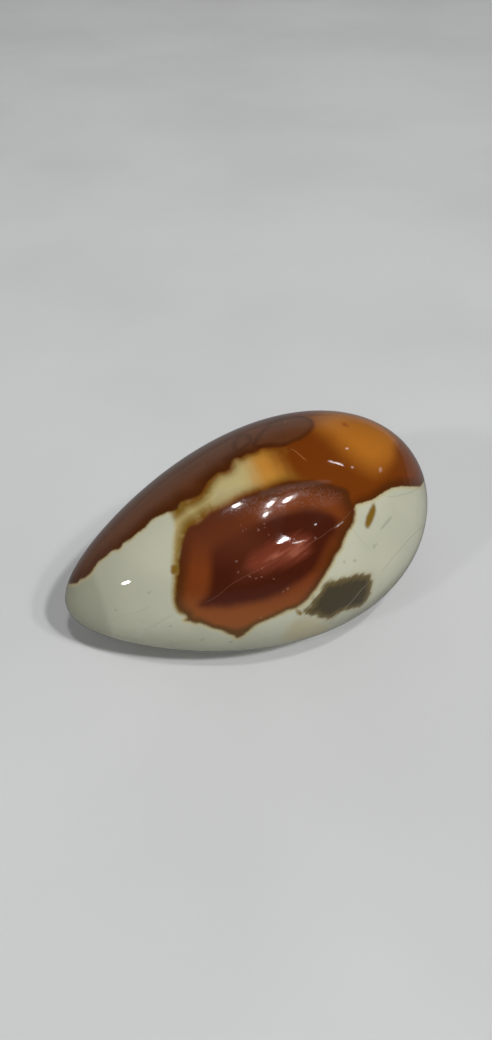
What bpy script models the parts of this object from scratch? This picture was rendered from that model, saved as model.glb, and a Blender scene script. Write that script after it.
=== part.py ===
"""Polished jasper stone: one worn, lopsided egg lying on its side, blunt at +X and narrow at -X."""

import math

import bmesh
import bpy
from mathutils import Vector

MM = 0.001

# The egg, in millimetres
HALF_LENGTH = 45.0
HALF_WIDTH = 27.2
HALF_HEIGHT = 22.0
WIDTH_TAPER = 0.22
WIDTH_ROUNDING = -0.16
HEIGHT_TAPER = 0.25
HEIGHT_ROUNDING = 0.02
CROWN = 0.2
END_RISE = 3.1
END_LEAN = -0.4
SIDE_BOW = -1.6

# Ground flat spot the stone rests on, how far it is cut in above the lowest point
FLAT_DEPTH = 0.45

# Shallow hollows left by the polishing, in millimetres and degrees
HOLLOWS = (
    {
        "name": "front valley",
        "station": 5.0,
        "around": 36.5,
        "turn": 10.0,
        "half_length": 5.0,
        "half_width": 3.0,
        "depth": 0.84,
    },
    {
        "name": "shoulder dip",
        "station": 10.0,
        "around": 16.0,
        "turn": -53.0,
        "half_length": 8.0,
        "half_width": 5.0,
        "depth": 0.5,
    },
)

# Faces along one edge of the starting cube
GRID = 24


def clear_file():
    """Remove whatever objects the file starts with."""
    for item in list(bpy.data.objects):
        bpy.data.objects.remove(item, do_unlink=True)


def cube_to_sphere(corner):
    """Direction for a point of the cube, spaced evenly over each face."""
    even = [math.tan(value * math.pi / 4) for value in corner]
    return Vector(even).normalized()


def egg_point(way):
    """Point of the smooth egg for a direction, in millimetres."""
    s = way.x
    width = HALF_WIDTH * (1 + WIDTH_TAPER * s + WIDTH_ROUNDING * s * s)
    height = HALF_HEIGHT * (1 + HEIGHT_TAPER * s + HEIGHT_ROUNDING * s * s)
    x = HALF_LENGTH * s
    y = width * way.y + END_LEAN * s + SIDE_BOW * (1 - s * s)
    z = height * way.z * (1 + CROWN * way.z) + END_RISE * s
    return Vector((x, y, z))


def egg_normal(way):
    """Outward normal of the smooth egg for a direction."""
    helper = Vector((1, 0, 0)) if abs(way.z) > 0.9 else Vector((0, 0, 1))
    first = way.cross(helper).normalized() * 0.001
    second = way.cross(first).normalized() * 0.001
    across = egg_point((way + first).normalized()) - egg_point((way - first).normalized())
    along = egg_point((way + second).normalized()) - egg_point((way - second).normalized())
    normal = across.cross(along).normalized()
    return normal if normal.dot(way) > 0 else -normal


def hollow_frame(hollow):
    """Middle of a hollow with its long, short and outward directions."""
    s = hollow["station"] / HALF_LENGTH
    around = math.radians(hollow["around"])
    radius = math.sqrt(1 - s * s)
    way = Vector((s, -radius * math.sin(around), radius * math.cos(around)))
    normal = egg_normal(way)
    lengthwise = (Vector((1, 0, 0)) - normal * normal.x).normalized()
    crosswise = normal.cross(lengthwise)
    turn = math.radians(hollow["turn"])
    long_way = lengthwise * math.cos(turn) + crosswise * math.sin(turn)
    return egg_point(way), long_way, normal.cross(long_way), normal


def hollow_depth(point, hollow, frame):
    """How far a hollow lowers a point of the egg."""
    middle, long_way, short_way, normal = frame
    offset = point - middle
    along = offset.dot(long_way) / hollow["half_length"]
    across = offset.dot(short_way) / hollow["half_width"]
    below = offset.dot(normal) / hollow["half_length"]
    return hollow["depth"] * math.exp(-0.5 * (along * along + across * across + below * below))


def shape_stone(mesh):
    """Turn the starting cube into the worn egg with its hollows."""
    frames = [hollow_frame(hollow) for hollow in HOLLOWS]
    for vert in mesh.verts:
        way = cube_to_sphere(vert.co)
        point = egg_point(way)
        sink = sum(hollow_depth(point, hollow, frame) for hollow, frame in zip(HOLLOWS, frames))
        vert.co = (point - egg_normal(way) * sink) * MM


def grind_flat(mesh):
    """Cut the resting spot level and close it with one face."""
    level = min(vert.co.z for vert in mesh.verts) + FLAT_DEPTH * MM
    bmesh.ops.bisect_plane(
        mesh,
        geom=mesh.verts[:] + mesh.edges[:] + mesh.faces[:],
        plane_co=(0, 0, level),
        plane_no=(0, 0, 1),
        clear_inner=True,
    )
    rim = [edge for edge in mesh.edges if edge.is_boundary]
    bmesh.ops.contextual_create(mesh, geom=rim)


def set_on_table(mesh):
    """Move the stone so that the middle of its footprint box is the origin."""
    lows = [min(vert.co[axis] for vert in mesh.verts) for axis in range(3)]
    highs = [max(vert.co[axis] for vert in mesh.verts) for axis in range(3)]
    middle = Vector(((lows[0] + highs[0]) / 2, (lows[1] + highs[1]) / 2, lows[2]))
    for vert in mesh.verts:
        vert.co -= middle


def jasper_material():
    """Polished stone, brown jasper colour."""
    material = bpy.data.materials.new("polished_jasper")
    material.use_nodes = True
    shader = material.node_tree.nodes["Principled BSDF"]
    shader.inputs["Base Color"].default_value = (0.36, 0.14, 0.06, 1)
    shader.inputs["Roughness"].default_value = 0.12
    return material


def main():
    clear_file()
    collection = bpy.data.collections.new("jasper_stone")
    bpy.context.scene.collection.children.link(collection)

    mesh = bmesh.new()
    bmesh.ops.create_cube(mesh, size=2)
    bmesh.ops.subdivide_edges(mesh, edges=mesh.edges[:], cuts=GRID - 1, use_grid_fill=True)
    shape_stone(mesh)
    grind_flat(mesh)
    set_on_table(mesh)
    bmesh.ops.recalc_face_normals(mesh, faces=mesh.faces[:])
    for face in mesh.faces:
        face.smooth = True

    data = bpy.data.meshes.new("jasper_stone")
    mesh.to_mesh(data)
    mesh.free()
    data.materials.append(jasper_material())
    stone = bpy.data.objects.new("jasper_stone", data)
    collection.objects.link(stone)


main()
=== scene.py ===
"""Polished polychrome jasper stone on a pale table, with its fine surface, markings and lamps."""

import math
from types import SimpleNamespace

import bmesh
import bpy
import numpy as np
from mathutils import Matrix, Vector
from mathutils.bvhtree import BVHTree


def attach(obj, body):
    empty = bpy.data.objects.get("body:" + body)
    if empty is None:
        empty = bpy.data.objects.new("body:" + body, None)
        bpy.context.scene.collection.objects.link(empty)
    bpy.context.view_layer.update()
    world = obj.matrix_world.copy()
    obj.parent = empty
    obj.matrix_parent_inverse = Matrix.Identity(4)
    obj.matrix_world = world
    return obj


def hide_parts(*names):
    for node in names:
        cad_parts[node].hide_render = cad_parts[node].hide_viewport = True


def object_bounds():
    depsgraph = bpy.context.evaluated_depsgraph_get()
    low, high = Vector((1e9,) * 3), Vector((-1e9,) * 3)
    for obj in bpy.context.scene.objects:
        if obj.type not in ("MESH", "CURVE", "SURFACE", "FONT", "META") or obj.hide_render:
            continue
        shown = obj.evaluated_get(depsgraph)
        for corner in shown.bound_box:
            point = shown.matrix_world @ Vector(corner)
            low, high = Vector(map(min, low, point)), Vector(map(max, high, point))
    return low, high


bl_info = {
    "name": "Polished Jasper Stone",
    "version": (1, 0, 0),
    "blender": (4, 5, 0),
    "location": "View3D > Sidebar > Jasper",
    "description": "Builds a polished jasper stone with its markings and lays it on a pale table",
    "category": "Object",
}

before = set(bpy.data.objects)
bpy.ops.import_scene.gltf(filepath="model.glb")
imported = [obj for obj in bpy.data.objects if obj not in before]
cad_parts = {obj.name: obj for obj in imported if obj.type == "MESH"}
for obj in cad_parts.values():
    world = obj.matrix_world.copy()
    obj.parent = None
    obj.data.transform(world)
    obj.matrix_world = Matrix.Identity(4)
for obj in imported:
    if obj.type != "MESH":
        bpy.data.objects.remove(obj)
CAD_LOW, CAD_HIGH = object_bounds()

NODE = "jasper_stone"
SLOT = "polished_jasper"
MM = 0.001

# Picture frame, in pixels, and the lens that fills it
FRAME_WIDTH = 492
FRAME_HEIGHT = 1040
LENS_MM = 26.0
SENSOR_MM = 36.0
FOCAL_PIXELS = LENS_MM / SENSOR_MM * FRAME_HEIGHT
STONE_MIDDLE = (246, 530)

# Camera place in the part's frame, and where it looks from: degrees round the stone and above the table
CAMERA_PLACE = Vector((-53.3, -112.0, 144.4)) * MM
CAMERA_AZIMUTH = math.radians(-24.7)
CAMERA_ELEVATION = math.radians(44.0)
CAMERA_BACK = Vector(
    (
        math.sin(CAMERA_AZIMUTH) * math.cos(CAMERA_ELEVATION),
        -math.cos(CAMERA_AZIMUTH) * math.cos(CAMERA_ELEVATION),
        math.sin(CAMERA_ELEVATION),
    )
)
CAMERA_RIGHT = Vector((math.cos(CAMERA_AZIMUTH), math.sin(CAMERA_AZIMUTH), 0.0))
CAMERA_UP = CAMERA_BACK.cross(CAMERA_RIGHT)

# Point inside the stone, this share of its height up, from which its skin is unrolled
HEART_SHARE = 0.43
HEART = Vector((0.0, 0.0, HEART_SHARE * CAD_HIGH.z))
# Radius that turns an unrolled angle into millimetres
UNROLL_RADIUS = 30.0
# Millimetres between the points of a smoothed outline
OUTLINE_STEP = 0.15
# Distances from an outline are only told apart up to this many millimetres
REACH = 12.0
# Millimetres that a fine line is carried straight on past its ends, to have a side there too
LINE_RUN_OUT = 1e3
# Shares by which a pixel just off the rim is drawn in towards the stone's middle to find the stone
RIM_DRAWS = np.arange(0.0, 0.06, 0.004)
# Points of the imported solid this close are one, and triangles up to these angles, in degrees, are paired
MERGE_DISTANCE = 1e-6
FLAT_ANGLE = 20.0
SQUARE_ANGLE = 30.0
# A noise gives each pit its own size: its scale, the least share of the radius, and what the noise adds
PIT_NOISE_SCALE = 700.0
PIT_LEAST = 0.2
PIT_SPREAD = 1.6
# The noise averages a half, so the mean pit has the given depth
PIT_DEEPENING = 2.0

# Outlines of the markings. "seen" points are picture pixels, (right, down), in the frame above.
# "hidden" points are (millimetres along the stone, degrees round it): 0 is the top, 90 the side
# near the camera, 180 the underside and -90 the far side.
MARKS = {
    "band": (
        {
            "seen": (
                (66, 583.5), (72, 584), (77, 583.5), (80, 580), (86, 577.5), (91, 573), (94, 568),
                (100, 561), (108, 555), (112, 551), (120, 548.5), (124, 543), (130, 540), (137, 533.5),
                (143, 529), (149, 523), (153, 519), (160, 515.5), (167, 512.5), (173, 511), (178, 508),
                (181, 502.5), (188, 499.5), (196, 497), (201, 493), (205, 487), (208, 482), (213, 477),
                (218, 472.5), (224, 471.5), (229, 470), (231, 465), (233, 459), (237, 458),
                (242, 457.5), (246, 454.5), (252, 453), (258, 451), (262, 448), (272, 448), (288, 444),
                (285, 425),
            ),
            "hidden": (
                (19, -42), (21, -52), (20, -60), (16.5, -65), (16, -73), (12.5, -78), (12, -86),
                (7, -92), (4, -90), (1, -93), (-2, -101), (-5, -101), (-7, -108), (-11, -114),
                (-14, -109), (-16.5, -112), (-19, -105), (-23, -103), (-25, -96), (-29, -99),
                (-32, -96), (-35, -99), (-38, -94), (-42, -97),
            ),
        },
    ),
    "orange": (
        {
            "seen": (
                (240, 512), (240, 480), (246, 452), (262, 436), (285, 424),
            ),
            "hidden": (
                (14, -38), (16, -58), (17, -84), (23, -104), (31, -112), (39, -108), (44, -60),
                (44.6, 0),
            ),
            "seen_end": (
                (422, 484.5), (416, 486.5), (409, 486.5), (400, 486.5), (393, 488), (386, 491),
                (379, 495.5), (371, 500), (363, 502.5), (357, 504.5), (353.5, 509), (340, 520),
                (300, 515),
            ),
        },
    ),
    "brown": (
        {
            "seen": (
                (345, 513), (358, 509), (372, 505), (384, 500), (396, 495), (414, 493),
            ),
            "hidden": (
                (44.2, 40), (44.6, -40), (43, -88), (40, -118), (31, -124), (24, -114), (27, -100),
                (34, -98), (39.5, -86), (41, -50), (40.5, -30),
            ),
            "seen_end": (
                (399, 439), (396, 448), (395, 458), (391, 467), (385, 475), (378, 484), (368, 493),
                (357, 499),
            ),
        },
    ),
    "gold": (
        {
            "seen": (
                (326, 424), (334, 414), (350, 411), (368, 415), (384, 428), (393, 440), (391, 449),
                (384, 456), (374, 460), (362, 454), (350, 444), (338, 433),
            ),
        },
        {"hidden": ((22, -48), (34, -52), (38, -70), (31, -86), (23, -80), (19, -62))},
    ),
    "ovals": (
        {
            "seen": (
                (252, 446), (256, 437), (263, 429), (270, 423), (280, 419), (290, 416.5), (300, 416),
                (308, 417.5), (313.5, 421), (314.5, 426), (311, 432), (305, 437), (297, 441),
                (289, 444.5), (279, 446.5), (268, 446), (260, 447.5),
            ),
        },
        {
            "seen": (
                (232, 447), (235, 439), (240, 434.5), (247, 434), (252, 437), (251, 443), (245, 448),
                (237, 452),
            ),
        },
        {"hidden": ((11, -66), (5, -74), (-2, -76), (-5, -70), (-1, -62), (7, -59))},
    ),
    "island": (
        {
            "hidden": (
                (-9, -70), (-12, -74), (-13, -80), (-18, -84), (-22, -82), (-26, -84), (-29, -78),
                (-26, -73), (-22, -72), (-19, -67), (-14, -66),
            ),
        },
        {"hidden": ((1, -84), (-2, -82), (-5, -86), (-4, -91), (0, -90))},
    ),
    "window": (
        {
            "seen": (
                (171, 505), (190, 490), (203, 478), (222, 460), (245, 446), (290, 440), (306, 462),
                (290, 490), (262, 500), (240, 508), (225, 516), (205, 528), (192, 538), (188, 560),
                (186, 590), (184, 612), (178, 613), (173.5, 604), (172, 590), (173, 572), (172, 556),
                (173, 540), (174, 526), (172, 515),
            ),
        },
    ),
    "eye": (
        {
            "seen": (
                (237.5, 638.5), (233, 635.5), (228, 634), (221, 630.5), (212, 628), (206, 625.5),
                (200, 623), (195, 623.5), (190, 621.5), (184, 620.5), (187, 617), (181, 612),
                (177, 607), (175, 599), (176, 590), (177, 580), (178, 573), (178, 567), (179, 560),
                (180, 551), (181.5, 545), (183, 539), (185.5, 533), (188.5, 527.5), (193, 525),
                (198, 523.5), (203, 520), (207, 515.5), (213, 512), (220, 509), (228, 505), (235, 501),
                (242, 497), (250, 494), (258, 491), (265, 489.5), (272, 487), (279, 484), (287, 481.5),
                (296, 480.5), (306, 480.5), (316, 481), (326, 483), (336, 485.5), (344, 488),
                (349, 492), (351, 500), (353, 506), (355.5, 511), (354.5, 519), (352, 526), (347, 533),
                (344, 541), (340.5, 549), (335, 557), (330.5, 566), (325, 575), (320, 583),
                (316, 589.5), (311, 596), (305, 602), (300, 605.5), (296, 608), (290, 609.5),
                (283, 613), (275, 616.5), (266, 620.5), (258, 624), (252, 628), (245, 634),
            ),
        },
        {
            "hidden": (
                (-20, -148), (-15, -138), (-8, -132), (0, -127), (7, -131), (13, -138), (16, -148),
                (12, -158), (5, -164), (-3, -169), (-11, -168), (-17, -160),
            ),
        },
        {"hidden": ((26, 150), (31, 143), (36, 148), (35, 160), (29, 166), (24, 160))},
    ),
    "core": (
        {
            "seen": (
                (199, 606), (207, 592), (210, 578), (210, 562), (211, 549), (218, 543), (230, 538),
                (242, 530), (252, 524), (263, 520), (274, 515.5), (288, 511), (303, 508.5), (318, 509),
                (330, 513), (338, 520), (337, 530), (331, 541), (325, 553), (318, 566), (308, 577),
                (291, 589), (274, 597), (257, 602.5), (240, 606), (222, 607),
            ),
        },
        {
            "hidden": (
                (-14, -150), (-9, -141), (-1, -137), (6, -141), (10, -149), (4, -156), (-5, -160),
                (-11, -157),
            ),
        },
    ),
    # Painted reflection: outline of the salmon sheen in the hollow of the eye
    "glow": (
        {
            "seen": (
                (250, 566), (256, 558), (266, 550), (277, 544), (288, 540), (301, 538), (307, 541),
                (305, 549), (299, 557), (289, 562), (276, 564), (262, 568),
            ),
        },
    ),
    "feather": (
        {
            "seen": (
                (304, 610), (310, 606), (312, 602), (313, 597.5), (319, 593.5), (322, 588),
                (325, 583.5), (331, 580.5), (340, 579), (348, 577), (355, 574.5), (362, 574),
                (369, 574), (371.5, 576), (371.8, 583), (370.5, 592), (367, 599), (362, 605),
                (356, 608), (350, 609), (343, 611), (337, 614.5), (332, 617.5), (326, 619), (320, 618),
                (316, 615), (310, 616),
            ),
        },
        {
            "hidden": (
                (-30, 168), (-24, 158), (-17, 160), (-11, 168), (-13, 178), (-20, 186), (-27, 182),
            ),
        },
        {"hidden": ((22, -150), (27, -142), (33, -144), (33, -156), (27, -164), (22, -160))},
    ),
    "lozenge": (
        {
            "seen": (
                (374, 503), (376, 509), (374.5, 517), (371, 525), (367.5, 529), (365, 526), (366, 518),
                (370, 509),
            ),
        },
        {"seen": ((170.8, 566), (174, 564.5), (178.5, 565.5), (178.5, 573.5), (174, 574.5), (171, 573))},
        {"seen": ((296, 609.5), (300, 610.5), (302.5, 612.5), (301, 615.5), (297.5, 614.5))},
        {"hidden": ((-33, 172), (-30, 164), (-28, 170), (-30, 180))},
    ),
    "ochre": (
        {
            "seen": (
                (281, 640), (287, 628), (296, 619), (310, 618), (322, 622), (330, 627), (325, 634),
                (305, 640),
            ),
        },
        {"hidden": ((-5, 140), (6, 132), (16, 138), (14, 152), (2, 156))},
        {"hidden": ((-34, -120), (-26, -114), (-20, -126), (-27, -140))},
    ),
}

# Fine lines in the stone, each as the picture pixels along it
VEINS = {
    "fracture": (
        (203, 604), (217, 596), (235, 582), (262, 568), (290, 553), (314, 541), (333, 528), (345, 518),
        (353, 509),
    ),
    "feather_vein": ((369, 582), (362, 589), (354, 599), (345, 608), (336, 616), (328, 625)),
    "window_line": ((289, 448), (295, 451), (301, 456), (309, 463)),
    "grey_streak": ((393, 515), (386, 523), (378, 533)),
    "right_crack": ((424, 524), (412, 536), (398, 552), (387, 565), (379, 575)),
    "upper_crack": ((384, 497), (396, 496), (408, 493), (420, 488)),
    "middle_crack": ((350, 527), (358, 536), (366, 546), (373, 554)),
    "left_crack": ((104, 627), (120, 616), (138, 612), (153, 604)),
    "belly_crack": ((141, 632), (155, 625), (167, 618), (178, 614)),
    "rim_line": ((344, 420), (356, 423), (368, 427)),
}

# Spots too small for an outline: picture pixel and half width in millimetres
SPOTS = {
    # Painted glints: pale spots that stand for small glints of light in the eye
    "glints": (
        ((315.5, 538), 0.3), ((236.5, 561), 0.32), ((238.5, 572.5), 0.35), ((288, 588.5), 0.3),
        ((283.5, 591.5), 0.3), ((261, 617.5), 0.38), ((262, 568), 0.3), ((250, 577), 0.35),
        ((256, 578), 0.28), ((261.5, 577), 0.28), ((243, 531), 0.35), ((246, 529), 0.25),
        ((264.5, 524), 0.28), ((264.7, 527.5), 0.28), ((258, 530), 0.35), ((241, 525), 0.25),
        ((269, 535), 0.28), ((274, 578.5), 0.28),
    ),
    "specks": (
        ((375, 546), 0.6), ((355, 561), 0.5), ((344, 562), 0.4), ((202, 640), 0.5), ((231, 642), 0.55),
        ((149, 593), 0.5), ((135, 511), 0.45), ((171, 626), 0.45), ((116, 610), 0.4),
    ),
    "fleck": (((345, 424.5), 1.0),),
}

# Spots' colours and strengths
SPOT_LOOKS = {"glints": ("glint", 0.35), "specks": ("feather", 0.25), "fleck": ("fleck", 0.6)}

# The way the window shades from pale to amber, and how streaks are turned, in radians
WINDOW_WAY = (1.0, -0.06, 0.0)
WINDOW_TURN = (0.0, 0.0, -0.06)
GLOW_TURN = (0.0, -0.35, 0.1)
COMB_TURN = (0.0, 0.9, 0.3)


def shade_property(name, description, default):
    """A colour that the sidebar can change."""
    return bpy.props.FloatVectorProperty(
        name=name, description=description, subtype="COLOR", min=0.0, max=1.0, default=default
    )


class JasperShape(bpy.types.PropertyGroup):
    """Fine surface of the stone."""

    smoothing: bpy.props.IntProperty(
        name="Smoothing", description="Times the solid's faces are divided", default=2, min=0, max=3
    )
    pit_density: bpy.props.FloatProperty(
        name="Pits per square metre",
        description="How many pits the polish left",
        default=14000.0,
        min=0.0,
    )
    pit_radius: bpy.props.FloatProperty(
        name="Pit radius", description="Half width of a pit", default=0.0009, unit="LENGTH"
    )
    pit_depth: bpy.props.FloatProperty(
        name="Pit depth", description="Depth of a pit of middling size", default=0.00005, unit="LENGTH"
    )
    seed: bpy.props.IntProperty(name="Seed", description="Where the pits fall", default=7)


class JasperColours(bpy.types.PropertyGroup):
    """Colours of the markings."""

    cream: shade_property("Cream", "Light body of the stone", (0.52, 0.52, 0.4))
    green_cream: shade_property("Green cream", "Cooler clouds in the cream", (0.42, 0.43, 0.33))
    # Darker cream at the narrow end, also used as painted shade on the underside
    shadow_cream: shade_property("Shadow cream", "Duller stone at the tip and below", (0.24, 0.24, 0.17))
    ochre: shade_property("Ochre", "Warm stains in the cream", (0.4, 0.33, 0.17))
    straw: shade_property("Straw", "Pale window between the dark parts", (0.51, 0.415, 0.185))
    olive: shade_property("Olive", "Fringe where pale stone meets brown", (0.2, 0.11, 0.014))
    amber: shade_property("Amber", "Where the window turns to orange", (0.52, 0.23, 0.035))
    gold: shade_property("Gold", "Brightest part of the orange field", (0.44, 0.15, 0.016))
    rust: shade_property("Rust", "Darker parts of the orange field", (0.165, 0.037, 0.003))
    brown: shade_property("Brown", "Broad band along the narrow end", (0.12, 0.042, 0.016))
    dark_brown: shade_property("Dark brown", "Edges of the band and ovals", (0.07, 0.018, 0.003))
    rim: shade_property("Rim", "Dark rim of the eye", (0.075, 0.02, 0.004))
    ring: shade_property("Ring", "Ring of the eye", (0.18, 0.041, 0.008))
    clay: shade_property("Clay", "Lower part of the ring", (0.23, 0.066, 0.014))
    moss: shade_property("Moss", "Lower edge of the eye", (0.09, 0.042, 0.008))
    core: shade_property("Core", "Middle zone of the eye", (0.11, 0.027, 0.011))
    heart: shade_property("Heart", "Darkest part of the eye", (0.06, 0.011, 0.004))
    ember: shade_property("Ember", "Red stone round the salmon streaks", (0.18, 0.038, 0.018))
    # Painted reflection: salmon sheen in the eye's hollow, laid over the red stone
    glow: shade_property("Glow", "Salmon streaks in the heart", (0.48, 0.17, 0.1))
    feather: shade_property("Feather", "Grey patch with combed edges", (0.038, 0.027, 0.01))
    feather_edge: shade_property("Feather edge", "Lighter edge of the grey patch", (0.12, 0.083, 0.026))
    # Painted glint: colour of the pale spots that stand for small glints of light
    glint: shade_property("Glint", "Pale specks in the eye", (0.36, 0.2, 0.16))
    fleck: shade_property("Fleck", "Red fleck near the blunt end's top", (0.24, 0.04, 0.01))


class JasperStage(bpy.types.PropertyGroup):
    """Table and lamps."""

    table: bpy.props.FloatVectorProperty(
        name="Table", description="Colour of the table", subtype="COLOR", default=(0.68, 0.685, 0.685)
    )
    sky: bpy.props.FloatProperty(
        name="Room light", description="Strength of the even light of the room", default=0.2, min=0.0
    )
    lamps: bpy.props.FloatProperty(
        name="Lamps", description="Strength of the soft lamps", default=1.0, min=0.0
    )


class Wire:
    """A socket in a node tree that takes part in sums."""

    def __init__(self, tree, socket):
        self.tree = tree
        self.socket = socket

    def maths(self, operation, *others):
        """Result of one Math node on this socket and others."""
        return self.tree.node("ShaderNodeMath", {"operation": operation}, (self, *others))

    def __add__(self, other):
        return self.maths("ADD", other)

    def __sub__(self, other):
        return self.maths("SUBTRACT", other)

    def __mul__(self, other):
        return self.maths("MULTIPLY", other)

    def __truediv__(self, other):
        return self.maths("DIVIDE", other)

    def __rsub__(self, other):
        return self.tree.node("ShaderNodeMath", {"operation": "SUBTRACT"}, (other, self))

    def __abs__(self):
        return self.maths("ABSOLUTE")

    __radd__ = __add__
    __rmul__ = __mul__


class Tree:
    """A node tree and the one way nodes are added to it."""

    # A Mix node's sockets for colours, by their places
    MIX_FACTOR = 0
    MIX_FIRST = 6
    MIX_SECOND = 7
    MIX_RESULT = 2

    def __init__(self, tree):
        self.tree = tree

    def node(self, kind, settings=None, inputs=(), take=0):
        """Add a node: its settings first, then its sockets by name or in order. Gives one output."""
        made = self.tree.nodes.new(kind)
        for name, value in (settings or {}).items():
            setattr(made, name, value)
        pairs = inputs.items() if isinstance(inputs, dict) else enumerate(inputs)
        for name, value in pairs:
            if isinstance(value, Wire):
                self.tree.links.new(value.socket, made.inputs[name])
            elif value is not None:
                made.inputs[name].default_value = value
        return Wire(self, made.outputs[take]) if len(made.outputs) else made

    def step(self, value, low, high):
        """0 below low, 1 above high, smooth between."""
        return self.node(
            "ShaderNodeMapRange", {"interpolation_type": "SMOOTHSTEP"}, (value, low, high, 0.0, 1.0)
        )

    def mix(self, first, second, factor):
        """Two colours mixed."""
        shades = [(*shade, 1.0) if isinstance(shade, tuple) else shade for shade in (first, second)]
        inputs = {self.MIX_FACTOR: factor, self.MIX_FIRST: shades[0], self.MIX_SECOND: shades[1]}
        return self.node("ShaderNodeMix", {"data_type": "RGBA"}, inputs, take=self.MIX_RESULT)

    def attribute(self, name):
        """A value kept on the mesh's points."""
        return self.node("ShaderNodeAttribute", {"attribute_name": name}, take="Fac")


def plain_shades(group):
    """The colours of a property group as plain tuples."""
    return SimpleNamespace(**{name: tuple(getattr(group, name)) for name in group.__annotations__})


def camera_ray(pixel):
    """Direction from the camera through a picture pixel."""
    right, down = pixel
    aside = CAMERA_RIGHT * (right - FRAME_WIDTH / 2)
    above = CAMERA_UP * (FRAME_HEIGHT / 2 - down)
    return (aside + above - CAMERA_BACK * FOCAL_PIXELS).normalized()


def flat_axes(middle):
    """Right, up and outward directions at a point of the skin, seen from the heart of the stone."""
    out = (Vector(middle) - HEART).normalized()
    right = CAMERA_UP.cross(out).normalized()
    return np.array((right, out.cross(right), out))


class Skin:
    """The stone's surface, with ways to find points on it and to unroll it flat."""

    def __init__(self, mesh):
        count = len(mesh.vertices)
        flat = np.zeros(count * 3)
        mesh.vertices.foreach_get("co", flat)
        self.points = flat.reshape(-1, 3)
        corners = [vertex.co for vertex in mesh.vertices]
        self.tree = BVHTree.FromPolygons(corners, [face.vertices for face in mesh.polygons])

    def seen(self, pixel):
        """Point of the stone behind a picture pixel; one just off the rim is drawn in to it."""
        for draw in RIM_DRAWS:
            drawn = [value + (middle - value) * draw for value, middle in zip(pixel, STONE_MIDDLE)]
            hit = self.tree.ray_cast(CAMERA_PLACE, camera_ray(drawn))[0]
            if hit is not None:
                return hit
        raise ValueError(f"pixel {pixel} isn't on the stone")

    def hidden(self, place):
        """Point of the stone at a station along it and an angle round it."""
        station, around = place
        angle = math.radians(around)
        start = Vector((station * MM, 0.0, HEART.z))
        hit = self.tree.ray_cast(start, Vector((0.0, -math.sin(angle), math.cos(angle))))[0]
        if hit is None:
            raise ValueError(f"there is no stone at {place}")
        return hit

    def unroll(self, points, middle):
        """Points laid out flat round a middle point of the skin, in millimetres of arc."""
        axes = flat_axes(middle)
        ways = np.asarray(points, float).reshape(-1, 3) - np.array(HEART)
        ways /= np.linalg.norm(ways, axis=1, keepdims=True)
        right, up, out = (ways @ axes.T).T
        angle = np.arccos(np.clip(out, -1, 1))
        length = np.maximum(np.hypot(right, up), 1e-9)
        return np.stack((angle * right / length, angle * up / length), 1) * UNROLL_RADIUS

    def roll(self, flat, middle):
        """Points of the stone for points laid out flat round a middle point."""
        right_way, up_way, out_way = (Vector(axis) for axis in flat_axes(middle))
        found = []
        for right, up in np.asarray(flat) / UNROLL_RADIUS:
            angle = math.hypot(right, up)
            aside = (right_way * right + up_way * up) / max(angle, 1e-9)
            way = out_way * math.cos(angle) + aside * math.sin(angle)
            found.append(self.tree.ray_cast(HEART, way)[0])
        return np.array(found)


def smooth_line(points, closed):
    """Points along a Catmull-Rom curve through the given flat points, a short step apart."""
    points = np.asarray(points, float)
    if closed:
        padded = np.concatenate((points[-1:], points, points[:2]))
    else:
        padded = np.concatenate((2 * points[:1] - points[1:2], points, 2 * points[-1:] - points[-2:-1]))
    found = []
    for before, start, end, after in zip(padded, padded[1:], padded[2:], padded[3:]):
        steps = max(2, int(np.linalg.norm(end - start) / OUTLINE_STEP))
        t = np.arange(steps)[:, None] / steps
        found.append(
            0.5
            * (
                2 * start
                + (end - before) * t
                + (2 * before - 5 * start + 4 * end - after) * t**2
                + (3 * start - before - 3 * end + after) * t**3
            )
        )
    if not closed:
        found.append(points[-1:])
    return np.concatenate(found)


def within(flat, outline):
    """Which flat points lie inside a closed outline."""
    inside = np.zeros(len(flat), bool)
    x, y = flat[:, 0], flat[:, 1]
    for (ax, ay), (bx, by) in zip(outline, np.roll(outline, -1, axis=0)):
        if ay == by:
            continue
        crosses = (ay > y) != (by > y)
        inside ^= crosses & (x < (bx - ax) * (y - ay) / (by - ay) + ax)
    return inside


def nearest(points, others, block=4000):
    """Distance from each point to the nearest of the others."""
    found = []
    points = points.astype(np.float32)
    others = others.astype(np.float32)
    squares = (others**2).sum(1)
    for start in range(0, len(points), block):
        part = points[start : start + block]
        gaps = (part**2).sum(1)[:, None] + squares - 2 * part @ others.T
        found.append(np.sqrt(np.maximum(gaps.min(1), 0)))
    return np.concatenate(found)


def mark_distance(skin, outlines):
    """How far each point lies inside the nearest of the outlines, in millimetres, negative outside."""
    best = np.full(len(skin.points), -REACH)
    for outline in outlines:
        corners = [skin.seen(pixel) for pixel in outline.get("seen", ())]
        corners += [skin.hidden(place) for place in outline.get("hidden", ())]
        corners += [skin.seen(pixel) for pixel in outline.get("seen_end", ())]
        corners = np.array([tuple(corner) for corner in corners])
        middle = corners.mean(0)
        line = smooth_line(skin.unroll(corners, middle), closed=True)
        flat = skin.unroll(skin.points, middle)
        low, high = line.min(0) - REACH, line.max(0) + REACH
        close = np.flatnonzero(((flat > low) & (flat < high)).all(1))
        gap = np.minimum(nearest(skin.points[close] / MM, skin.roll(line, middle) / MM), REACH)
        gap = np.where(within(flat[close], line[::2]), gap, -gap)
        best[close] = np.maximum(best[close], gap)
    return best


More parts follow.
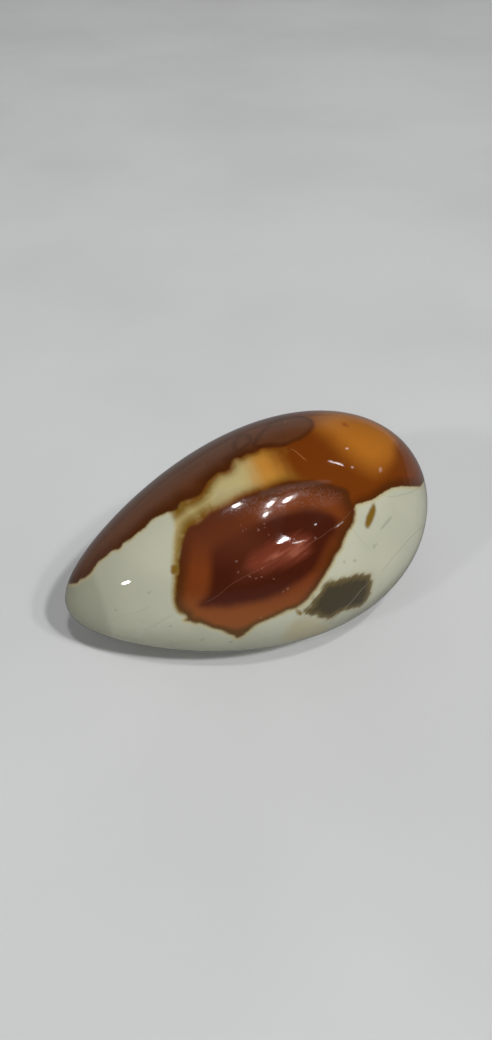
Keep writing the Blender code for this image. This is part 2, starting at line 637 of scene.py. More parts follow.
def vein_place(skin, pixels):
    """For each point, its distance beside a vein, with a sign for the side, and its place along it."""
    corners = np.array([tuple(skin.seen(pixel)) for pixel in pixels])
    middle = corners.mean(0)
    line = smooth_line(skin.unroll(corners, middle), closed=False)[::3]
    flat = skin.unroll(skin.points, middle)
    lengths = np.concatenate(([0], np.cumsum(np.linalg.norm(np.diff(line, axis=0), axis=1))))
    beside = np.zeros(len(flat))
    along = np.zeros(len(flat))
    best = np.full(len(flat), np.inf)
    last = len(line) - 2
    for number, (start, end) in enumerate(zip(line, line[1:])):
        reach = end - start
        size = np.linalg.norm(reach)
        reach /= size
        offset = flat - start
        forward = offset @ reach
        low = -LINE_RUN_OUT if number == 0 else 0.0
        high = LINE_RUN_OUT if number == last else size
        held = np.clip(forward, low, high)
        across = offset[:, 0] * reach[1] - offset[:, 1] * reach[0]
        gap = np.hypot(across, forward - held)
        closer = gap < best
        best = np.where(closer, gap, best)
        beside = np.where(closer, np.copysign(gap, across), beside)
        along = np.where(closer, lengths[number] + held, along)
    return beside, along, lengths[-1]


def keep_attribute(mesh, name, values):
    """Store one number for each point of the mesh."""
    layer = mesh.attributes.new(name, "FLOAT", "POINT")
    layer.data.foreach_set("value", values.astype(np.float32))


def surface_tree(material):
    """Geometry nodes that smooth the solid and sink pits into it."""
    group = bpy.data.node_groups.new("Polished stone surface", "GeometryNodeTree")
    sockets = (
        ("Geometry", "NodeSocketGeometry"),
        ("Smoothing", "NodeSocketInt"),
        ("Pit density", "NodeSocketFloat"),
        ("Pit radius", "NodeSocketFloat"),
        ("Pit depth", "NodeSocketFloat"),
        ("Seed", "NodeSocketInt"),
    )
    for name, kind in sockets:
        group.interface.new_socket(name=name, in_out="INPUT", socket_type=kind)
    group.interface.new_socket(name="Geometry", in_out="OUTPUT", socket_type="NodeSocketGeometry")
    tree = Tree(group)
    entry = group.nodes.new("NodeGroupInput")
    given = {name: Wire(tree, entry.outputs[name]) for name, kind in sockets}

    fine = tree.node("GeometryNodeSubdivisionSurface", None, (given["Geometry"], given["Smoothing"]))
    pits = tree.node(
        "GeometryNodeDistributePointsOnFaces",
        None,
        {"Mesh": fine, "Density": given["Pit density"], "Seed": given["Seed"]},
        take="Points",
    )
    gap = tree.node("GeometryNodeProximity", {"target_element": "POINTS"}, (pits,), take="Distance")
    patch = tree.node("ShaderNodeTexNoise", None, {"Scale": PIT_NOISE_SCALE, "Detail": 1.0})
    size = given["Pit radius"] * (patch * PIT_SPREAD + PIT_LEAST)
    sink = tree.node(
        "ShaderNodeMapRange",
        {"interpolation_type": "SMOOTHSTEP"},
        (gap, 0.0, size, given["Pit depth"], 0.0),
    )
    normal = tree.node("GeometryNodeInputNormal")
    sunk = {"Vector": normal, "Scale": sink * patch * -PIT_DEEPENING}
    offset = tree.node("ShaderNodeVectorMath", {"operation": "SCALE"}, sunk)
    shaped = tree.node("GeometryNodeSetPosition", None, {"Geometry": fine, "Offset": offset})
    smooth = tree.node("GeometryNodeSetShadeSmooth", None, {"Geometry": shaped})
    real = tree.node("GeometryNodeRealizeInstances", None, {"Geometry": smooth})
    dressed = tree.node("GeometryNodeSetMaterial", None, {"Geometry": real, "Material": material})
    tree.node("NodeGroupOutput", None, {"Geometry": dressed})
    return group


def bare_solid():
    """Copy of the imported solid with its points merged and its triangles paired."""
    mesh = bmesh.new()
    mesh.from_mesh(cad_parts[NODE].data)
    bmesh.ops.remove_doubles(mesh, verts=mesh.verts, dist=MERGE_DISTANCE)
    bmesh.ops.join_triangles(
        mesh,
        faces=mesh.faces,
        angle_face_threshold=math.radians(FLAT_ANGLE),
        angle_shape_threshold=math.radians(SQUARE_ANGLE),
    )
    data = bpy.data.meshes.new("polished_stone")
    mesh.to_mesh(data)
    mesh.free()
    stone = bpy.data.objects.new("polished_stone", data)
    bpy.context.scene.collection.objects.link(stone)
    return stone


def set_input(modifier, name, value):
    """Set a geometry nodes input found by its name."""
    for item in modifier.node_group.interface.items_tree:
        if item.in_out == "INPUT" and item.name == name:
            modifier[item.identifier] = value
            return
    raise KeyError(name)


# Each fine line: half width in millimetres, colour and strength
VEIN_LOOKS = {
    "fracture": (0.13, (0.3, 0.16, 0.1), 0.2),
    "feather_vein": (0.17, (0.24, 0.22, 0.16), 0.55),
    "window_line": (0.14, (0.5, 0.22, 0.07), 0.5),
    "grey_streak": (0.45, (0.27, 0.28, 0.24), 0.5),
    "right_crack": (0.2, (0.36, 0.37, 0.28), 0.6),
    "upper_crack": (0.15, (0.36, 0.37, 0.27), 0.5),
    "middle_crack": (0.13, (0.4, 0.41, 0.31), 0.55),
    "left_crack": (0.2, (0.38, 0.4, 0.3), 0.5),
    "belly_crack": (0.25, (0.38, 0.4, 0.3), 0.5),
    "rim_line": (0.2, (0.26, 0.1, 0.02), 0.4),
}
# Millimetres over which a fine line fades at its ends, and the largest share of its length for that
VEIN_FADE = 1.5
VEIN_FADE_SHARE = 0.3

# Where each shade comes in: it starts at the first value, is complete at the second, and has the third
# as its strength. A shade that is drawn "before" its span is complete at the first value and gone at the
# second.
SPANS = {
    # Millimetres in from the edge of a marking, negative outside it
    "ochre stain": (-1.2, 1.8, 0.5),
    "halo": (-1.0, 0.0, 0.7),
    "window": (-0.8, 0.8, 1.0),
    "olive fringe": (-3.0, 0.3, 1.0),
    "rust seam": (-1.7, 0.2, 0.75),
    "gold": (-6.5, 2.0, 1.0),
    "brown patch": (-1.8, 1.6, 0.85),
    "patch edge": (0.4, 3.0, 1.0),
    "oval": (0.2, 1.8, 1.0),
    "band": (0.2, 4.5, 1.0),
    "island amber": (0.2, 1.2, 1.0),
    "island olive": (0.8, 1.8, 0.6),
    "island straw": (1.4, 3.2, 1.0),
    "heart": (-1.3, 1.5, 1.0),
    "inner core": (3.5, 8.5, 0.75),
    "ember": (-2.2, 1.2, 1.0),
    "glow": (0.0, 3.4, 0.9),
    "feather stain": (-1.6, 0.0, 0.3),
    "feather": (-0.5, 0.5, 0.96),
    "feather middle": (0.3, 1.9, 1.0),
    "lozenge": (-0.4, 0.5, 1.0),
    "worn eye": (-0.5, 1.5, 1.0),
    # Millimetres along the stone, towards the blunt end
    "tip zone": (-38.9, -37.1, 0.25),
    "tip fade": (-46.0, -24.0, 0.5),
    "blunt half": (0.0, 25.0, 0.5),
    "window amber": (-4.8, 1.0, 1.0),
    "window rust": (0.5, 7.5, 1.0),
    "window neck": (-16.0, -5.0, 1.2),
    "fringe end": (3.0, 9.0, 1.0),
    "seam start": (-20.0, -14.0, 1.0),
    "crown end": (-10.0, 0.0, 0.75),
    # Millimetres above the table
    "underside": (12.0, 22.0, 1.0),
    "neck height": (33.0, 38.0, 1.0),
    "clay": (21.0, 28.0, 1.0),
    "rim shade": (20.0, 30.0, 1.0),
    "crown": (30.0, 36.0, 1.0),
    "worn crown": (37.0, 39.5, 1.0),
    # Millimetres towards the far side
    "far side": (9.0, 17.0, 1.0),
    # What the eye's rim gains in width, in millimetres, higher up, at its low tip and at its left
    "rim above": (22.0, 40.0, 1.3),
    "rim low tip": (17.0, 20.5, 2.2),
    "rim left": (-24.0, -18.0, 0.6),
    # Values of a noise or a wave
    "cool cream": (0.4, 0.65, 0.5),
    "clear cream": (0.5, 0.75, 0.4),
    "cool grains": (0.55, 0.8, 0.25),
    "cream in window": (0.5, 0.75, 0.3),
    "fringe gaps": (0.45, 0.62, 0.6),
    "rust clouds": (0.55, 0.8, 0.3),
    "dark in band": (0.5, 0.75, 0.4),
    "ring in band": (0.5, 0.7, 0.35),
    "grey grains": (0.68, 0.76, 0.4),
    "core clouds": (0.45, 0.75, 0.3),
    "far clouds": (0.48, 0.66, 0.6),
    "far flecks": (0.56, 0.68, 0.55),
    "far rings": (0.2, 1.0, 0.35),
    "rough dimples": (0.46, 0.56, 0.24),
}
# Least share of the painted shade on the underside, which grows towards the blunt end
UNDERSIDE_LEAST = 0.4
# Radians of the far side's fine rings for each millimetre from the band's edge
FAR_RING_WAVE = 2.4
# Least width of the eye's rim in millimetres, the shares of it over which it fades, and its strength
RIM_WIDTH = 0.8
RIM_FADE = (0.2, 2.1)
RIM_STRENGTH = 0.92
OVAL_STRENGTH = 0.85
# Roughness of the unworn polish, and the share of the bump that is left there
POLISH_ROUGHNESS = 0.05
POLISH_BUMP = 0.1


def vein_cover(tree, name, length, half_width, waver):
    """Where a fine line shows: 1 on it, 0 away from it and past its ends."""
    fade = min(VEIN_FADE, VEIN_FADE_SHARE * length)
    beside = abs(tree.attribute(name + "_beside") + waver)
    along = tree.attribute(name + "_along")
    line = 1.0 - tree.step(beside, half_width * 0.3, half_width)
    return line * tree.step(along, 0.0, fade) * (1.0 - tree.step(along, length - fade, length))


class Pattern:
    """Shared inputs of the stone's markings: the place on the stone, its noises and edge distances."""

    def __init__(self, tree):
        self.tree = tree
        self.place = tree.node("ShaderNodeTexCoord", take="Object")
        self.station = self.along((1, 0, 0))
        self.height = self.along((0, 0, 1))
        self.broad = self.noise(scale=55.0, seed=1.0, detail=3.0)
        self.cloud = self.noise(scale=140.0, seed=2.0, detail=4.0, roughness=0.6)
        self.middle = self.noise(scale=420.0, seed=3.0, detail=4.0, roughness=0.6)
        self.fine = self.noise(scale=1500.0, seed=4.0, detail=3.0, roughness=0.6)
        self.ragged = (self.middle - 0.5) * 1.1 + (self.fine - 0.5) * 0.7
        self.drift = (self.cloud - 0.5) * 2.2 + self.ragged * 0.5
        self.edge = {name: tree.attribute(name) for name in MARKS}

    def noise(self, scale, seed, detail=2.0, roughness=0.5, stretch=None, turn=(0.0, 0.0, 0.0)):
        """Cloudy value about 0.5, drawn out along an axis where a stretch is given."""
        vector = self.place
        if stretch:
            inputs = {"Vector": vector, "Rotation": turn, "Scale": stretch}
            vector = self.tree.node("ShaderNodeMapping", {"vector_type": "TEXTURE"}, inputs)
        inputs = {"Vector": vector, "W": seed, "Scale": scale, "Detail": detail, "Roughness": roughness}
        return self.tree.node("ShaderNodeTexNoise", {"noise_dimensions": "4D"}, inputs)

    def along(self, way):
        """Millimetres along a direction."""
        inputs = (self.place, tuple(Vector(way) / MM))
        return self.tree.node("ShaderNodeVectorMath", {"operation": "DOT_PRODUCT"}, inputs, take="Value")

    def past(self, value, name):
        """0 before a named span and its strength past it, smooth between."""
        low, high, strength = SPANS[name]
        found = self.tree.step(value, low, high)
        return found if strength == 1.0 else found * strength

    def before(self, value, name):
        """The strength of a named span before it and 0 past it, smooth between."""
        low, high, strength = SPANS[name]
        found = 1.0 - self.tree.step(value, low, high)
        return found if strength == 1.0 else found * strength

    def cover(self, name, soft, wear):
        """Where a marking lies, with a ragged, slightly blurred edge."""
        return self.tree.step(self.edge[name] + self.ragged * wear, -soft, soft)

    def spot(self, point, half_width):
        """A small blurred spot round a point of the skin."""
        gap = self.tree.node(
            "ShaderNodeVectorMath", {"operation": "DISTANCE"}, (self.place, tuple(point)), take="Value"
        )
        uneven = gap / MM + (self.fine - 0.5) * half_width * 4.0
        return 1.0 - self.tree.step(uneven, half_width * 0.2, half_width)

    def spots(self, points):
        """Several spots as one value."""
        total = None
        for point, half_width in points:
            one = self.spot(point, half_width)
            total = one if total is None else total.maths("MAXIMUM", one)
        return total


def paint_cream(pattern, shades):
    """Cream body with green clouds, darker at the tip, with painted shade on the underside and ochre
    stains.
    """
    mix = pattern.tree.mix
    cream = mix(shades.cream, shades.green_cream, pattern.past(pattern.broad, "cool cream"))
    cream = mix(cream, shades.cream, pattern.past(pattern.cloud, "clear cream"))
    cream = mix(cream, shades.green_cream, pattern.past(pattern.fine, "cool grains"))
    length = pattern.station + pattern.ragged * 0.6
    # Darker cream towards the narrow end
    tip = pattern.before(length, "tip zone") + pattern.before(length, "tip fade")
    height = pattern.height + (pattern.cloud - 0.5) * 8.0
    # Painted shade: the cream darkens towards the underside, most at the blunt end
    below = pattern.before(height, "underside") * (pattern.past(length, "blunt half") + UNDERSIDE_LEAST)
    cream = mix(cream, shades.shadow_cream, tip.maths("MAXIMUM", below))
    return mix(cream, shades.ochre, pattern.past(pattern.edge["ochre"] + pattern.drift, "ochre stain"))


def paint_field(pattern, shades):
    """The pale window that turns through amber to the orange field, and the brown patch in it."""
    mix = pattern.tree.mix
    edge = pattern.edge
    across = pattern.along(WINDOW_WAY)
    streak = pattern.noise(scale=300.0, seed=6.0, stretch=(0.4, 2.0, 2.0), turn=WINDOW_TURN)
    shift = across + pattern.drift * 0.7 + (streak - 0.5) * 3.0
    field = mix(shades.straw, shades.cream, pattern.past(pattern.cloud, "cream in window"))
    field = mix(field, shades.amber, pattern.past(shift, "window amber"))
    field = mix(field, shades.rust, pattern.past(shift, "window rust"))
    dark_near = edge["band"].maths("MAXIMUM", edge["eye"])
    neck = pattern.before(across, "window neck") * pattern.past(pattern.height, "neck height")
    reach = neck + pattern.drift * 0.9
    fringe = pattern.past(dark_near + reach, "olive fringe") * pattern.before(shift, "fringe end")
    field = mix(field, shades.olive, fringe * (1.0 - pattern.past(pattern.cloud, "fringe gaps")))
    seam = pattern.past(dark_near + pattern.drift * 0.5, "rust seam")
    field = mix(field, shades.rust, seam * pattern.past(across, "seam start"))
    field = mix(field, shades.gold, pattern.past(edge["gold"] + pattern.drift, "gold"))
    field = mix(field, shades.rust, pattern.past(pattern.cloud, "rust clouds"))
    near_cream = pattern.before(edge["orange"] + pattern.ragged * 0.5, "patch edge")
    brown = mix(shades.rust, shades.dark_brown, near_cream)
    return mix(field, brown, pattern.past(edge["brown"] + pattern.drift * 0.5, "brown patch"))


def paint_far_side(pattern, shades, body):
    """Broken clouds, flecks and fine rings in the brown and orange stone of the far side."""
    mix = pattern.tree.mix
    far = pattern.past(pattern.along((0, 1, 0)), "far side")
    body = mix(body, shades.clay, far * pattern.past(pattern.cloud, "far clouds"))
    body = mix(body, shades.heart, far * pattern.past(pattern.middle, "far flecks"))
    wave = ((pattern.edge["band"] + pattern.drift * 0.8) * FAR_RING_WAVE).maths("SINE")
    return mix(body, shades.dark_brown, far * pattern.past(wave, "far rings"))


def paint_island(pattern, shades):
    """Pale islands in the band, amber and olive towards their edges."""
    mix = pattern.tree.mix
    inside = pattern.edge["island"] + pattern.drift * 0.5
    island = mix(shades.rust, shades.amber, pattern.past(inside, "island amber"))
    island = mix(island, shades.olive, pattern.past(inside, "island olive"))
    return mix(island, shades.straw, pattern.past(inside, "island straw"))


def paint_band(pattern, shades):
    """Broad brown band, darker along its edge and clouded."""
    mix = pattern.tree.mix
    depth = pattern.past(pattern.edge["band"] + pattern.drift, "band")
    band = mix(shades.dark_brown, shades.brown, depth)
    band = mix(band, shades.dark_brown, pattern.past(pattern.cloud, "dark in band"))
    band = mix(band, shades.ring, pattern.past(pattern.broad, "ring in band"))
    return mix(band, shades.feather, pattern.past(pattern.fine, "grey grains"))


def paint_eye(pattern, shades):
    """Eye: dark rim, orange-brown ring, and the core, darker along its edge, with red stone and a painted
    salmon reflection.
    """
    mix = pattern.tree.mix
    edge = pattern.edge
    station = pattern.station
    height = pattern.height
    ring = mix(shades.ring, shades.core, pattern.past(pattern.cloud, "core clouds"))
    ring = mix(ring, shades.clay, pattern.before(height + pattern.drift, "clay"))
    rim_width = pattern.past(height, "rim above") + pattern.before(height, "rim low tip")
    rim_width = rim_width + pattern.before(station, "rim left") + RIM_WIDTH
    fade_start, fade_end = (rim_width * share for share in RIM_FADE)
    rim = 1.0 - pattern.tree.step(edge["eye"] + pattern.ragged * 0.8, fade_start, fade_end)
    rim_shade = mix(shades.moss, shades.rim, pattern.past(height, "rim shade"))
    ring = mix(ring, rim_shade, rim * RIM_STRENGTH)
    ring = mix(ring, shades.heart, pattern.past(edge["core"] + pattern.drift * 0.6, "heart"))
    # Painted sheen: the core's lighter colour over the crown's left end, where reflected light lies as a
    # haze
    crown = pattern.before(station, "crown end") * pattern.past(height, "crown")
    inner = pattern.past(edge["core"] + pattern.drift, "inner core").maths("MAXIMUM", crown)
    ring = mix(ring, shades.core, inner)
    streak = pattern.noise(
        scale=900.0, seed=9.0, detail=3.0, roughness=0.6, stretch=(6.0, 1.0, 1.0), turn=GLOW_TURN
    )
    # Painted reflection: the salmon sheen of the hollow, brightest towards the blunt end
    glow = edge["glow"] + pattern.drift * 0.6
    ring = mix(ring, shades.ember, pattern.past(glow + (streak - 0.5) * 4.0, "ember"))
    bright = glow + (streak - 0.5) * 7.0 + station * 0.15
    return mix(ring, shades.glow, pattern.past(bright, "glow"))


def paint_small_marks(pattern, shades, body, lengths, skin):
    """The grey patches with combed edges, the lozenges, fine lines, spots and painted glints."""
    mix = pattern.tree.mix
    edge = pattern.edge
    comb = pattern.noise(scale=420.0, seed=8.0, roughness=0.6, stretch=(0.35, 1.2, 1.2), turn=COMB_TURN)
    inside = edge["feather"] + (comb - 0.5) * 2.2 + pattern.ragged * 0.5
    feather = mix(shades.feather_edge, shades.feather, pattern.past(inside, "feather middle"))
    body = mix(body, shades.ochre, pattern.past(inside, "feather stain"))
    body = mix(body, feather, pattern.past(inside, "feather"))
    body = mix(body, shades.olive, pattern.past(edge["lozenge"] + pattern.ragged * 0.4, "lozenge"))
    waver = (pattern.middle - 0.5) * 0.5
    for name, (half_width, shade, strength) in VEIN_LOOKS.items():
        line = vein_cover(pattern.tree, name, lengths[name], half_width, waver)
        body = mix(body, shade, line * strength)
    # Spots, among them the painted glints
    for name, (shade, strength) in SPOT_LOOKS.items():
        points = [(skin.seen(pixel), half_width) for pixel, half_width in SPOTS[name]]
        body = mix(body, getattr(shades, shade), pattern.spots(points) * strength)
    return body


def paint_stone(material, shades, lengths, skin):
    """Shader of the markings and the polish."""
    material.node_tree.nodes.clear()
    tree = Tree(material.node_tree)
    pattern = Pattern(tree)
    edge = pattern.edge

    dark_near = edge["band"].maths("MAXIMUM", edge["eye"]).maths("MAXIMUM", edge["orange"])
    halo = pattern.past(dark_near + pattern.ragged * 0.5, "halo")
    cream = tree.mix(paint_cream(pattern, shades), shades.straw, halo)
    in_window = pattern.past(edge["window"] + pattern.drift * 0.6, "window")
    in_field = in_window.maths("MAXIMUM", pattern.cover("orange", soft=0.25, wear=0.5))
    field = paint_far_side(pattern, shades, paint_field(pattern, shades))
    body = tree.mix(cream, field, in_field)
    band = paint_far_side(pattern, shades, paint_band(pattern, shades))
    body = tree.mix(body, band, pattern.cover("band", soft=0.4, wear=0.7))
    oval = tree.mix(shades.dark_brown, shades.brown, pattern.past(edge["ovals"], "oval"))
    body = tree.mix(body, oval, pattern.cover("ovals", soft=0.6, wear=0.7) * OVAL_STRENGTH)
    body = tree.mix(body, paint_island(pattern, shades), pattern.cover("island", soft=0.4, wear=0.9))
    body = tree.mix(body, paint_eye(pattern, shades), pattern.cover("eye", soft=0.5, wear=0.6))
    body = paint_small_marks(pattern, shades, body, lengths, skin)

    worn = pattern.past(pattern.height + pattern.drift, "worn crown")
    worn = worn * pattern.past(edge["eye"] + pattern.ragged, "worn eye")
    grain = pattern.noise(scale=4200.0, seed=5.0)
    dimples = pattern.noise(scale=2600.0, seed=12.0, roughness=0.6)
    scratch = pattern.noise(
        scale=900.0, seed=11.0, roughness=0.7, stretch=(3.0, 0.5, 1.0), turn=GLOW_TURN
    )
    height = grain * 0.3 + dimples * 0.5 + scratch * 0.2
    height = height * (worn * (1.0 - POLISH_BUMP) + POLISH_BUMP)
    bump = tree.node("ShaderNodeBump", None, {"Strength": 0.15, "Distance": 0.0002, "Height": height})
    gloss = tree.node(
        "ShaderNodeBsdfPrincipled",
        None,
        {
            "Base Color": body,
            "Roughness": worn * pattern.past(dimples, "rough dimples") + POLISH_ROUGHNESS,
            "IOR": 1.54,
            "Specular IOR Level": 0.25,
            "Coat Weight": 0.5,
            "Coat Roughness": 0.04,
            "Normal": bump,
        },
    )
    tree.node("ShaderNodeOutputMaterial", None, {"Surface": gloss})


class JASPER_OT_stone(bpy.types.Operator):
    """Make the stone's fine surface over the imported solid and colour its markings"""

    bl_idname = "jasper.stone"
    bl_label = "Make Polished Stone"

    def execute(self, context):
        shape = context.scene.jasper_shape
        material = bpy.data.materials.new(SLOT)
        material.use_nodes = True
        stone = bare_solid()
        modifier = stone.modifiers.new("Surface", "NODES")
        modifier.node_group = surface_tree(material)
        set_input(modifier, "Smoothing", shape.smoothing)
        set_input(modifier, "Pit density", shape.pit_density)
        set_input(modifier, "Pit radius", shape.pit_radius)
        set_input(modifier, "Pit depth", shape.pit_depth)
        set_input(modifier, "Seed", shape.seed)
        depsgraph = context.evaluated_depsgraph_get()
        mesh = bpy.data.meshes.new_from_object(stone.evaluated_get(depsgraph), depsgraph=depsgraph)
        stone.modifiers.remove(modifier)
        stone.data = mesh

        skin = Skin(mesh)
        for name, outlines in MARKS.items():
            keep_attribute(mesh, name, mark_distance(skin, outlines))
        lengths = {}
        for name, pixels in VEINS.items():
            beside, along, lengths[name] = vein_place(skin, pixels)
            keep_attribute(mesh, name + "_beside", beside)
            keep_attribute(mesh, name + "_along", along)
        paint_stone(material, plain_shades(context.scene.jasper_colours), lengths, skin)

        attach(stone, "root")
        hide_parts(NODE)
        return {"FINISHED"}


# Lamps that the polish mirrors: the directions of both ends from the stone, the angle each is wide, in
# degrees, and its brightness
MIRRORED_LAMPS = (
    ("crest_lamp_left", (-0.28, 0.0, 0.96), (-0.28, 0.0, 0.96), 3.4, 70.0),
    ("crest_lamp_middle", (-0.04, -0.29, 0.96), (-0.04, -0.29, 0.96), 4.4, 70.0),
    ("crest_lamp_right", (0.13, -0.4, 0.91), (0.13, -0.4, 0.91), 4.8, 70.0),
    ("crest_lamp_low", (-0.09, -0.41, 0.91), (-0.09, -0.41, 0.91), 3.0, 70.0),
    ("crest_haze", (-0.05, -0.02, 1.0), (0.33, -0.22, 0.92), 9.0, 0.5),
    ("tip_lamp", (-0.9, -0.24, 0.36), (-0.9, -0.24, 0.36), 3.6, 60.0),
    ("valley_lamp", (-0.05, -0.68, 0.73), (0.07, -0.61, 0.79), 0.8, 70.0),
    ("valley_streak", (0.05, -0.67, 0.74), (0.1, -0.64, 0.76), 0.8, 22.0),
    ("shoulder_lamp", (0.41, 0.08, 0.91), (0.51, -0.05, 0.86), 1.2, 16.0),
    ("shoulder_back", (0.61, 0.23, 0.75), (0.61, 0.23, 0.75), 2.0, 8.0),
    ("shoulder_low", (0.59, -0.09, 0.8), (0.59, -0.09, 0.8), 2.0, 6.0),
    ("blunt_end_lamp", (0.88, -0.07, 0.47), (0.87, -0.1, 0.48), 3.0, 2.0),
    ("ring_streak", (0.31, -0.65, 0.7), (0.39, -0.63, 0.67), 0.7, 14.0),
)
# Soft lamps that light the stone and cast its shadows: direction and light
SOFT_LAMPS = (
    ("main_lamp", (0.23, -0.54, 0.81), 1.16),
    ("side_lamp", (0.34, -0.57, 0.75), 0.5),
    ("top_lamp", (0.02, -0.34, 0.94), 0.65),
    ("far_lamp", (-0.81, -0.26, 0.52), 0.43),
)
SOFT_LAMP_ANGLE = 4.0
LAMP_DISTANCE = 3.0

# Shares of the table's colour in its darker clouds, and where the polish mirrors it
TABLE_CLOUD = 0.93
TABLE_MIRRORED = 0.32
# Half the table's side, in metres
TABLE_REACH = 4.0

# What the polish sees of the room: a dim ceiling, a lighter zone low down and a wall behind the stone
CEILING_SHADE = (0.02, 0.02, 0.02)
LOW_SHADE = (0.15, 0.15, 0.15)
WALL_SHADE = (0.2, 0.2, 0.19)
# Where they fade, as parts of a direction's length: upwards, away from the camera and to the right
WALL_TOP = (0.3, 0.65)
WALL_START = (-0.2, 0.4)
WALL_END = (0.5, 0.72)
LOW_TOP = (0.0, 0.25)
LOW_END = (0.5, 0.8)
LOW_END_LOSS = 0.8


def lamp_between(name, first, second, angle):
    """A lamp that shines on the stone from between two directions, with rounded ends."""
    ends = [Vector(way).normalized() for way in (first, second)]
    back = (ends[0] + ends[1]).normalized()
    spread = ends[0].angle(ends[1])
    along = (ends[1] - ends[0]) if spread > 0 else back.cross(Vector((0.0, 1.0, 0.0)))
    aside = back.cross(along).normalized()
    along = aside.cross(back)
    width = LAMP_DISTANCE * math.radians(angle)
    data = bpy.data.lights.new(name, "AREA")
    data.shape = "ELLIPSE"
    data.size = LAMP_DISTANCE * spread + width
    data.size_y = width
    lamp = bpy.data.objects.new(name, data)
    turned = Matrix((along, aside, back)).transposed().to_4x4()
    lamp.matrix_world = Matrix.Translation(HEART + back * LAMP_DISTANCE) @ turned
    bpy.context.scene.collection.objects.link(lamp)
    return lamp


def mirrored_lamp(name, first, second, angle, brightness):
    """A lamp that only shows in the polish."""
    lamp = lamp_between(name, first, second, angle)
    area = math.pi / 4 * lamp.data.size * lamp.data.size_y
    lamp.data.energy = brightness * math.pi * area
    lamp.visible_diffuse = False


def soft_lamp(name, way, light):
    """A lamp that lights the stone and the table without showing in the polish."""
    lamp = lamp_between(name, way, way, SOFT_LAMP_ANGLE)
    lamp.data.energy = light * math.pi * LAMP_DISTANCE * LAMP_DISTANCE
    lamp.visible_glossy = False


def table_top(shade):
    """Pale, faintly clouded table, drawn darker where the polish mirrors it."""
    mesh = bmesh.new()
    bmesh.ops.create_grid(mesh, x_segments=1, y_segments=1, size=TABLE_REACH)
    data = bpy.data.meshes.new("table_top")
    mesh.to_mesh(data)
    mesh.free()
    material = bpy.data.materials.new("pale_table")
    material.use_nodes = True
    material.node_tree.nodes.clear()
    tree = Tree(material.node_tree)
    place = tree.node("ShaderNodeTexCoord", take="Object")
    haze = tree.node("ShaderNodeTexNoise", None, {"Vector": place, "Scale": 9.0, "Detail": 3.0})
    tone = tree.mix(shade, tuple(TABLE_CLOUD * part for part in shade), tree.step(haze, 0.35, 0.7))
    mirrored = tree.node("ShaderNodeLightPath", take="Is Glossy Ray")
    tone = tree.mix(tone, tuple(TABLE_MIRRORED * part for part in shade), mirrored)
    finish = {"Base Color": tone, "Roughness": 0.45, "Specular IOR Level": 0.3}
    gloss = tree.node("ShaderNodeBsdfPrincipled", None, finish)
    tree.node("ShaderNodeOutputMaterial", None, {"Surface": gloss})
    data.materials.append(material)
    table = bpy.data.objects.new("table_top", data)
    bpy.context.scene.collection.objects.link(table)


def room_light(strength):
    """Even light of the room. The polish sees a pale wall behind the stone and a dim ceiling."""
    world = bpy.data.worlds.new("room")
    world.use_nodes = True
    world.node_tree.nodes.clear()
    tree = Tree(world.node_tree)
    way = tree.node("ShaderNodeTexCoord", take="Generated")
    right, behind, height = (
        tree.node("ShaderNodeSeparateXYZ", None, (way,), take=axis) for axis in ("X", "Y", "Z")
    )
    mirrored = tree.node("ShaderNodeLightPath", take="Is Glossy Ray")
    wall = 1.0 - tree.step(height, *WALL_TOP)
    wall = wall * tree.step(behind, *WALL_START) * (1.0 - tree.step(right, *WALL_END))
    low = (1.0 - tree.step(height, *LOW_TOP)) * (1.0 - tree.step(right, *LOW_END) * LOW_END_LOSS)
    seen = tree.mix(CEILING_SHADE, LOW_SHADE, low)
    seen = tree.mix(seen, WALL_SHADE, wall)
    shade = tree.mix((strength, strength, strength * 1.02), seen, mirrored)
    light = tree.node("ShaderNodeBackground", None, {"Color": shade, "Strength": 1.0})
    tree.node("ShaderNodeOutputWorld", None, {"Surface": light})
    bpy.context.scene.world = world


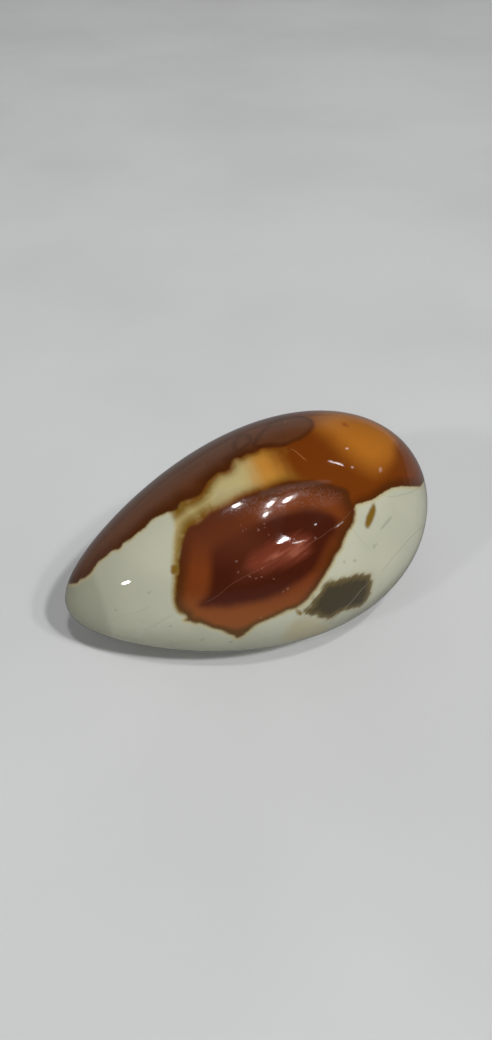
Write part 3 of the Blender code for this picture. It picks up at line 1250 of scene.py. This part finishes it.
def picture_camera():
    """Camera at the photograph's viewing angle."""
    data = bpy.data.cameras.new("camera")
    data.sensor_width = SENSOR_MM
    data.lens = LENS_MM
    data.clip_start = 0.01
    camera = bpy.data.objects.new("camera", data)
    turned = Matrix((CAMERA_RIGHT, CAMERA_UP, CAMERA_BACK)).transposed().to_4x4()
    camera.matrix_world = Matrix.Translation(CAMERA_PLACE) @ turned
    bpy.context.scene.collection.objects.link(camera)
    bpy.context.scene.camera = camera


class JASPER_OT_stage(bpy.types.Operator):
    """Lay a pale table under the stone and set the lamps and the camera"""

    bl_idname = "jasper.stage"
    bl_label = "Set Table and Lamps"

    def execute(self, context):
        stage = context.scene.jasper_stage
        table_top(tuple(stage.table))
        for lamp in MIRRORED_LAMPS:
            mirrored_lamp(*lamp)
        for name, way, light in SOFT_LAMPS:
            soft_lamp(name, way, light * stage.lamps)
        room_light(stage.sky)
        picture_camera()
        context.scene.view_settings.view_transform = "Standard"
        return {"FINISHED"}


class JASPER_PT_panel(bpy.types.Panel):
    """Sidebar panel with the stone's settings"""

    bl_label = "Jasper Stone"
    bl_idname = "JASPER_PT_panel"
    bl_space_type = "VIEW_3D"
    bl_region_type = "UI"
    bl_category = "Jasper"

    def draw(self, context):
        layout = self.layout
        scene = context.scene
        for group in (scene.jasper_shape, scene.jasper_colours, scene.jasper_stage):
            box = layout.box()
            for name in group.__annotations__:
                box.prop(group, name)
        layout.operator("jasper.stone")
        layout.operator("jasper.stage")


CLASSES = (JasperShape, JasperColours, JasperStage, JASPER_OT_stone, JASPER_OT_stage, JASPER_PT_panel)


def register():
    for item in CLASSES:
        bpy.utils.register_class(item)
    bpy.types.Scene.jasper_shape = bpy.props.PointerProperty(type=JasperShape)
    bpy.types.Scene.jasper_colours = bpy.props.PointerProperty(type=JasperColours)
    bpy.types.Scene.jasper_stage = bpy.props.PointerProperty(type=JasperStage)


def unregister():
    del bpy.types.Scene.jasper_stage
    del bpy.types.Scene.jasper_colours
    del bpy.types.Scene.jasper_shape
    for item in reversed(CLASSES):
        bpy.utils.unregister_class(item)


def main():
    register()
    bpy.ops.jasper.stone()
    bpy.ops.jasper.stage()


if __name__ == "__main__":
    main()
